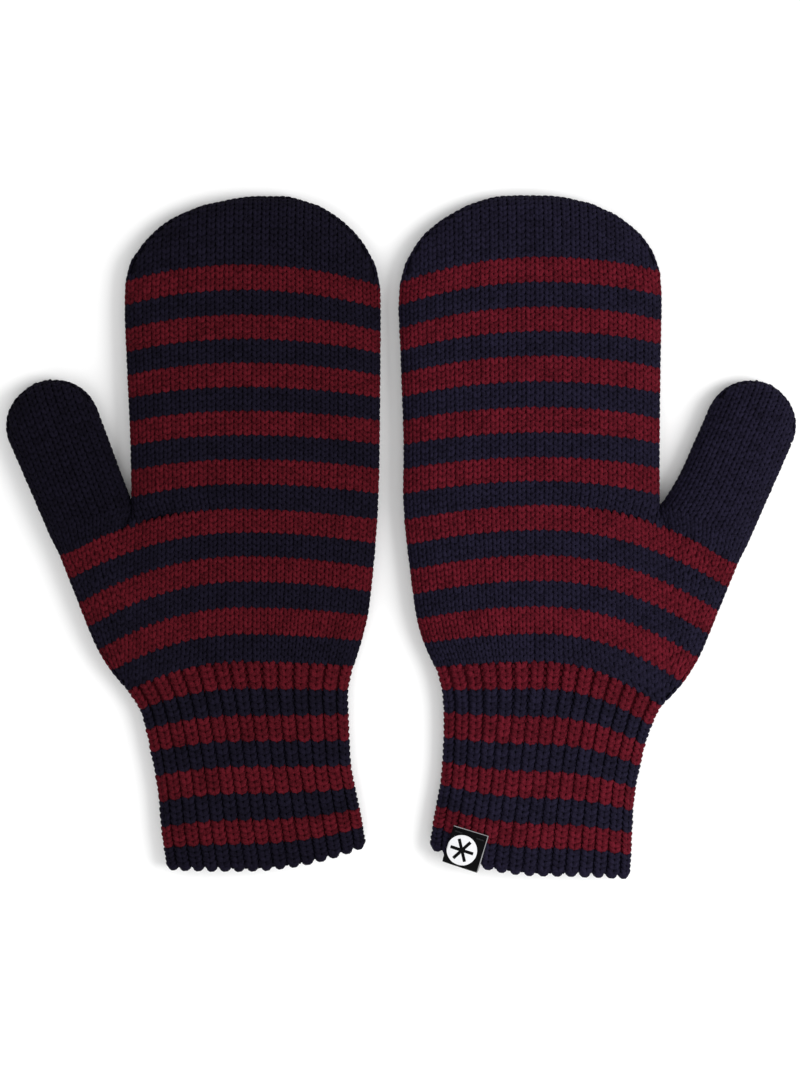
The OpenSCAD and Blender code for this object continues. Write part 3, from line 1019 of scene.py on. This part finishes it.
wrist = loop_of(SLEEVES["left", "low"], RIB_BANDS, GROUND_SINK, 0, False, 60)
print("once round the left wrist:", round(arc(wrist)[-1] / MM), "mm")

# %% [markdown]
# ## From loops to a closed ring
# A stack of outer loops and a stack of inner ones are joined by walls of quads, and by a rim at
# each end. At a dome the last loops are capped. Solidify could give the thickness too, but here
# the inside of the cuff has its own, shallower waves.

# %% Ground ring of a band
SMOOTH_SAMPLES, RIB_SAMPLES = 60, 120   # points on each face of a loop
GROUND_ROWS = 4


def ring_mesh(name, mitten, outer, inner, capped):
    """Closed mesh between stacks of outer and inner loops, open at the far end or capped."""
    n = len(outer[0])
    rows = len(outer)
    verts = [tuple(v) for v in mitten.outward(np.concatenate(outer + inner))]
    faces = []

    def wall(first, flip):
        for r in range(rows - 1):
            for j in range(n):
                a, b = first + r * n + j, first + r * n + (j + 1) % n
                quad = (a, b, b + n, a + n)
                faces.append(quad[::-1] if flip else quad)

    def rim(a0, b0, flip):
        for j in range(n):
            k = (j + 1) % n
            quad = (a0 + j, b0 + j, b0 + k, a0 + k)
            faces.append(quad[::-1] if flip else quad)

    wall(0, False)
    wall(rows * n, True)
    rim(0, rows * n, False)
    if capped:
        faces.append(tuple((rows - 1) * n + j for j in range(n)))
        faces.append(tuple((2 * rows - 1) * n + j for j in reversed(range(n))))
    else:
        rim((rows - 1) * n, (2 * rows - 1) * n, True)
    data = bpy.data.meshes.new(name + "_ground")
    data.from_pydata(verts, [], faces)
    data.validate()
    thing = bpy.data.objects.new(name + "_ground", data)
    bpy.context.scene.collection.objects.link(thing)
    thing.hide_render = True
    fix_normals(thing)
    return thing


def ground_ring(name, side, sleeve, first, last, ribs=False, rows=GROUND_ROWS, capped=False):
    count = RIB_SAMPLES if ribs else SMOOTH_SAMPLES
    outer, inner = [], []
    for place in np.linspace(first, last, rows + 1):
        outer.append(loop_of(sleeve, place, GROUND_SINK, RIB_DEPTH, ribs, count))
        inner.append(loop_of(sleeve, place, INNER_SINK, RIB_DEPTH * 0.5, ribs, count))
    return ring_mesh(name, MITTENS[side], outer, inner, capped)


print("wall of the ground:", round((INNER_SINK - GROUND_SINK) / MM, 2), "mm")


# %% [markdown]
# ## Bands and joints
# Each knitted piece takes the place of its own ring of the measured model. A piece away from the
# joints moves with that ring's body. A piece that reaches the stretch either side of a hinge is put
# on no body, and its place is baked into its mesh; all the pieces round one joint are measured
# against the same start and end. The thumb has its own joint, and only the thumb and its root are
# measured against it.

# %% Bodies and bends
BODY_OF = {n: body for body, names in frame["record"]["behaviour"]["bodies"].items()
           for n in names}
BEND_REACH = 13 * MM      # the stretch near a hinge reaches this far either side of it
THUMB_BEND_START = 0.31   # the thumb's stretch starts this share of its length later


def bend_zone(joint):
    """Start and end of the stretch either side of a hinge, along the child's way."""
    pos, axis = np.array(joint["pos_m"]), np.array(joint["axis"], float)
    ahead = np.cross(np.array([0.0, 0.0, 1.0]), axis)
    return pos - ahead * BEND_REACH, pos + ahead * BEND_REACH


def attach(piece, node):
    """Ride on the node's body, or, where the piece reaches a joint's stretch, stay off the bodies
    with the place baked in.
    """
    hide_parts(node)
    co = np.empty(len(piece.data.vertices) * 3)
    piece.data.vertices.foreach_get("co", co)
    co = co.reshape(-1, 3)
    body = BODY_OF[node]
    for joint in frame["joints"]:
        if joint["type"] != "hinge" or body not in (joint["parent"], joint["child"]):
            continue
        if "thumb" in joint["name"] and "thumb" not in node:
            continue
        if "thumb" in node and "thumb" not in joint["name"]:
            continue
        start, end = bend_zone(joint)
        if "thumb" in node:
            start = start + (end - start) * THUMB_BEND_START
        way = end - start
        t = (co - start) @ way / (way @ way)
        if t.min() < 1 and t.max() > 0:
            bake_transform(piece)
            return
    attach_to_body(piece, body)


print("pieces bend over", round(2 * BEND_REACH / MM), "mm at each hinge")

# %% [markdown]
# ## Knitting every band
# Band by band, four courses are laid on the top and four on the underside. The ribbing has wide
# raised columns with sunken purl bumps between them. The first bands also get a lining, because
# one can look into the cuff. The very first course has a bead on each rib, which scallops the hem.

# %% Knit the bands
RIB_WIDE = 4.8 * MM        # one rib is one wide column of stitches
PURL_WIDE = 2.4 * MM
LINING_WIDE = 4.6 * MM
LINING_SINK = INNER_SINK + RIB_DEPTH * 0.4
LINED_BANDS = 4
HEM_PLACE = 0.02           # band place of the scalloped hem
HEM_GROUND = 0.12          # the ground starts behind it
PIECES = {}


def band_colour(i):
    return "burgundy" if i % 2 else "navy"


for side in SIDES:
    for i, node in enumerate(MITTENS[side].rings):
        sleeve = SLEEVES[side, "low" if i < SPLIT else "hand"]
        ribs = i < RIB_BANDS
        part = "rib" if ribs else "palm" if i < SPLIT else "hand"
        bits = []
        for row in range(ROWS_PER_BAND):
            place = i + (row + 0.5) / ROWS_PER_BAND
            for face in (1, -1):
                knit_row = course_points(side, sleeve, part, place, face)
                bits.append((knit_row, KNIT_KIND, RIB_WIDE if ribs else None))
                if ribs:
                    sunk = course_points(side, sleeve, part, place, face, YARN_SINK + RIB_DEPTH,
                                         between=True)
                    bits.append((sunk, PURL_KIND, PURL_WIDE))
                if i < LINED_BANDS:
                    lining = course_points(side, sleeve, part, place, face, LINING_SINK,
                                           between=True, facing=-1)
                    bits.append((lining, KNIT_KIND, LINING_WIDE))
        if i == 0:
            for face in (1, -1):
                hem = course_points(side, sleeve, part, HEM_PLACE, face, YARN_SINK + 0.5 * MM)
                bits.append((hem, BEAD_KIND, RIB_WIDE))
        name = node + "_knit"
        ground = ground_ring(name, side, sleeve, i + (HEM_GROUND if i == 0 else 0), i + 1, ribs)
        PIECES[node] = knit(name, collect(bits), ground, WOOL[side, band_colour(i)], 10 * i + 3)
        attach(PIECES[node], node)
    print(side, "bands:", sum(len(PIECES[n].data.polygons) for n in MITTENS[side].rings), "faces")

# %% [markdown]
# ## Fingertip and thumb
# The fingertip is one navy cap. The thumb is its own tube: its foot is picked up round the thumb
# hole, so it starts on the bow of the last palm course, and it closes in a round end.

# %% Knit the fingertip, the foot of the thumb and the thumb
# the left thumb takes the darker navy copy: painted shade
THUMB_DYE_AND_SHADE = {"left": "deep_navy", "right": "navy"}
END_SEED = 777


def knit_end(side, sleeve, first, last, node, dye, straight, rounded, dome):
    """Courses from first to last: straight columns up to the dome, rounded ones from there on."""
    capped = dome < last
    bits = [(outline_chain(side, sleeve, dome, last), KNIT_KIND, None)] if capped else []
    rows = round((last - first) * ROWS_PER_BAND)
    for row in range(rows):
        place = first + (row + 0.5) * (last - first) / rows
        part = straight if place < dome else rounded
        for face in (1, -1):
            bits.append((course_points(side, sleeve, part, place, face), KNIT_KIND, None))
    name = node + "_knit"
    ground = ground_ring(name, side, sleeve, first, last, rows=max(3, rows), capped=capped)
    PIECES[node] = knit(name, collect(bits), ground, WOOL[side, dye], END_SEED)
    attach(PIECES[node], node)
    print(node, len(PIECES[node].data.polygons), "faces")


for side in SIDES:
    tip, thumb = SLEEVES[side, "tip"], SLEEVES[side, "thumb"]
    root_end, dome = THUMB_MARKS[side]
    dye = THUMB_DYE_AND_SHADE[side]
    knit_end(side, tip, LAST, tip.places[-1], f"{side}_fingertip", "navy", "hand", "tip", LAST)
    knit_end(side, thumb, 0, root_end, f"{side}_thumb_root", dye, "thumb", "thumb_end", dome)
    knit_end(side, thumb, root_end, thumb.places[-1], f"{side}_thumb", dye, "thumb", "thumb_end",
             dome)

# %% [markdown]
# ## The hem label
# A woven ribbon is folded over the edge of the right cuff: one half lies outside, the other is
# hidden inside. It is a sheet, so it is laid out flat as a grid, then wrapped round the fold, and
# given its thickness last. A cloth simulation could drape it, but a stiff short ribbon that is
# sewn down hardly drapes, so its shape is worked out.

# %% Shape of the ribbon
LABEL_TURN = math.radians(-17)
LABEL_SHIFT = (0.6 * MM, 0.7 * MM)
LABEL_W, LABEL_H, LABEL_TAIL = 14 * MM, 13.5 * MM, 9 * MM
RIBBON = 0.5 * MM
FOLD_R = 1.7 * MM
GRID = (24, 56)            # squares across and along the ribbon
SAFE = 0.3 * MM            # heights are read at least so far inside the measured label's edge
CORNER_LIFT = 0.25 * MM    # the free corners stand off a little


def within(value, half):
    return max(min(value, half - SAFE), -half + SAFE)


def ribbon_mesh():
    """The folded ribbon, and its length before it was folded."""
    low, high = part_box("hem_label")
    right = Vector((math.cos(LABEL_TURN), math.sin(LABEL_TURN), 0))
    ahead = Vector((-math.sin(LABEL_TURN), math.cos(LABEL_TURN), 0))
    centre = (low + high) / 2 + ahead * (FOLD_R + RIBBON) / 2 + Vector((*LABEL_SHIFT, 0))
    source = frame["nodes"]["hem_label"].data
    tree = BVHTree.FromPolygons([v.co for v in source.vertices],
                                [tuple(p.vertices) for p in source.polygons])
    fold = math.pi * FOLD_R
    total = LABEL_H + fold + LABEL_TAIL
    columns, rows = GRID
    verts, uvs = [], []
    for r in range(rows + 1):
        run = total * r / rows
        for c in range(columns + 1):
            a = (c / columns - 0.5) * LABEL_W
            b = LABEL_H / 2 - min(run, LABEL_H)
            above = centre + right * within(a, LABEL_W / 2) + ahead * within(b, LABEL_H / 2)
            hit = tree.ray_cast(Vector((above.x, above.y, 0.05)), Vector((0, 0, -1)))[0]
            top = (hit.z if hit else high.z) + 0.05 * MM
            if run > LABEL_H:
                turn = min((run - LABEL_H) / FOLD_R, math.pi)
                back = max(0.0, run - LABEL_H - fold)
                b = -LABEL_H / 2 - FOLD_R * math.sin(turn) + back
                z = top - FOLD_R * (1 - math.cos(turn))
            else:
                z = top + (abs(a) / (LABEL_W / 2)) ** 4 * (run / LABEL_H < 0.5) * CORNER_LIFT
            p = centre + right * a + ahead * b
            verts.append((p.x, p.y, z))
            uvs.append((c / columns * LABEL_W, (LABEL_H - run)))
    faces = [(r * (columns + 1) + c, (r + 1) * (columns + 1) + c,
              (r + 1) * (columns + 1) + c + 1, r * (columns + 1) + c + 1)
             for r in range(rows) for c in range(columns)]
    data = bpy.data.meshes.new("hem_label_ribbon")
    data.from_pydata(verts, [], faces)
    layer = data.uv_layers.new(name="UVMap")
    for loop in data.loops:
        u, v = uvs[loop.vertex_index]
        layer.data[loop.index].uv = (u / MM, v / MM)
    thing = bpy.data.objects.new("hem_label_ribbon", data)
    bpy.context.scene.collection.objects.link(thing)
    solid = thing.modifiers.new("thickness", "SOLIDIFY")
    solid.thickness = RIBBON
    solid.offset = -1
    bpy.context.view_layer.update()
    graph = bpy.context.evaluated_depsgraph_get()
    done = bpy.data.meshes.new_from_object(thing.evaluated_get(graph))
    thing.modifiers.clear()
    thing.data = done
    thing.data.shade_smooth()
    return thing, total


ribbon, ribbon_length = ribbon_mesh()
print("ribbon", round(LABEL_W / MM, 1), "by", round(ribbon_length / MM, 1), "mm when flat")

# %% [markdown]
# ## The label's weave and mark
# The ribbon is black with a pale line along two edges. The mark on it is a plain snow star in a
# disc, drawn in the shader from the ribbon's own UV map, which is in millimetres, so that it
# follows the ribbon round the fold. Sine waves across and along give the fine weave.

# %% Weave of the ribbon
DISC_AT = (1.2, 1.7)   # the disc's middle lies this far left of and below the label's, in mm
DISC_R = 5.9
ARM_W = 1.25
ARM_REACH = 0.78       # length of the star's arms, as a share of the disc
EDGE_LINE = 0.25       # width of the pale lines, in mm
THREADS = 2.6          # threads of the weave in 1 mm


def ribbon_material():
    """Black weave with a pale disc and a dark six-armed star; the UV map is in millimetres."""
    material, tree, shader = new_material("label_weave")
    uv = make(tree, "ShaderNodeTexCoord", out="UV")
    split = make(tree, "ShaderNodeSeparateXYZ", None, uv)
    u = split.part("X") - LABEL_W / MM / 2
    v = split.part("Y") - LABEL_H / MM / 2
    du, dv = u + DISC_AT[0], v + DISC_AT[1]
    radius = (du * du + dv * dv).math("SQRT")
    disc = radius.less(DISC_R)
    dark = None
    for turn in (90, 30, 150):
        c, s = math.cos(math.radians(turn)), math.sin(math.radians(turn))
        arm = (du * c + dv * s).abs().less(ARM_W / 2) * radius.less(DISC_R * ARM_REACH)
        dark = arm if dark is None else dark.math("MAXIMUM", arm)
    edge_u = (u - (LABEL_W / MM / 2 - EDGE_LINE)).math("GREATER_THAN", 0.0)
    edge_v = (v - (LABEL_H / MM / 2 - EDGE_LINE)).math("GREATER_THAN", 0.0)
    edge = edge_u.math("MAXIMUM", edge_v)
    pale = (disc * (1 - dark)).math("MAXIMUM", edge * 0.35)
    weave = (u * (2 * math.pi * THREADS)).sin() * (v * (2 * math.pi * THREADS)).sin()
    mix = blend_colours(tree, pale * (weave * 0.06 + 0.9), (0.003, 0.003, 0.0035),
                        (0.82, 0.82, 0.84))
    mix.into(shader.inputs["Base Color"])
    bump = make(tree, "ShaderNodeBump", None, Strength=0.35, Distance=0.12 * MM, Height=weave)
    bump.into(shader.inputs["Normal"])
    shader.inputs["Roughness"].default_value = 0.8
    shader.inputs["Specular IOR Level"].default_value = 0.04
    return material


ribbon.data.materials.clear()
ribbon.data.materials.append(ribbon_material())
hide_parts("hem_label")
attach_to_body(ribbon, BODY_OF["hem_label"])
print("disc", 2 * DISC_R, "mm across")

# %% [markdown]
# ## The label's tacks
# Short stitches of dark sewing thread hold the ribbon down. The measured model already has them
# in their right shape, so they stay and only get a material: thread with a fine twist.

# %% Thread of the tacks
def thread_material():
    material, tree, shader = new_material("tack_thread")
    place = make(tree, "ShaderNodeTexCoord", out="Object")
    twist = make(tree, "ShaderNodeTexWave", {"bands_direction": "DIAGONAL"}, Vector=place,
                 Scale=900.0)
    bump = make(tree, "ShaderNodeBump", None, Strength=0.5, Distance=0.0001, Height=twist)
    bump.into(shader.inputs["Normal"])
    tone = blend_colours(tree, twist, (0.008, 0.008, 0.009), (0.02, 0.02, 0.022))
    tone.into(shader.inputs["Base Color"])
    shader.inputs["Roughness"].default_value = 0.8
    shader.inputs["Specular IOR Level"].default_value = 0.05
    return material


tacks = frame["nodes"]["label_stitches"]
tacks.data.materials.clear()
tacks.data.materials.append(thread_material())
for loop_shape in (STITCH, PURL, BEAD):   # the three shapes are knitted in and no longer needed
    bpy.data.objects.remove(loop_shape)
print("pieces:", len(PIECES) + 1, "and the tacks")

# %% [markdown]
# ## Floor, light and camera
# The pair lies on a plain pale floor under broad soft lights: a window on the right, and a weak
# fill from the front that opens the shadows. The camera looks straight down from about a metre,
# with a long lens, so that the mittens' sides hardly show.

# %% Stage
def floor_material():
    material, tree, shader = new_material("pale_floor")
    shader.inputs["Base Color"].default_value = (0.92, 0.92, 0.92, 1)
    shader.inputs["Roughness"].default_value = 0.9
    return material


bpy.ops.mesh.primitive_plane_add(size=6)
floor = bpy.context.object
floor.name = "floor"
floor.location.z = -0.0002
floor.data.materials.append(floor_material())

scene = bpy.context.scene
scene.view_settings.view_transform = "Standard"
world = bpy.data.worlds.new("soft_room")
scene.world = world
world.use_nodes = True
world.node_tree.nodes["Background"].inputs["Color"].default_value = (1, 1, 1, 1)
world.node_tree.nodes["Background"].inputs["Strength"].default_value = 0.75


def soft_light(name, place, size, watts):
    data = bpy.data.lights.new(name, "AREA")
    data.shape = "SQUARE"
    data.size = size
    data.energy = watts
    lamp = bpy.data.objects.new(name, data)
    lamp.location = place
    lamp.rotation_euler = (-Vector(place)).to_track_quat("-Z", "Y").to_euler()
    scene.collection.objects.link(lamp)


soft_light("window", (0.85, -0.1, 0.8), 0.7, 11)
soft_light("fill", (-0.2, -0.8, 1.1), 0.9, 4)

VIEW_HEIGHT = 0.416    # height of the picture at the mittens
TOP_OF_PAIR = 0.010
camera_data = bpy.data.cameras.new("camera")
camera_data.lens = 85
camera_data.sensor_width = 36
camera_data.clip_start = 0.01
camera = bpy.data.objects.new("camera", camera_data)
camera.location = (-0.0004, 0.001, VIEW_HEIGHT * camera_data.lens / camera_data.sensor_width
                   + TOP_OF_PAIR)
scene.collection.objects.link(camera)
scene.camera = camera
print("camera height", round(camera.location.z, 3))
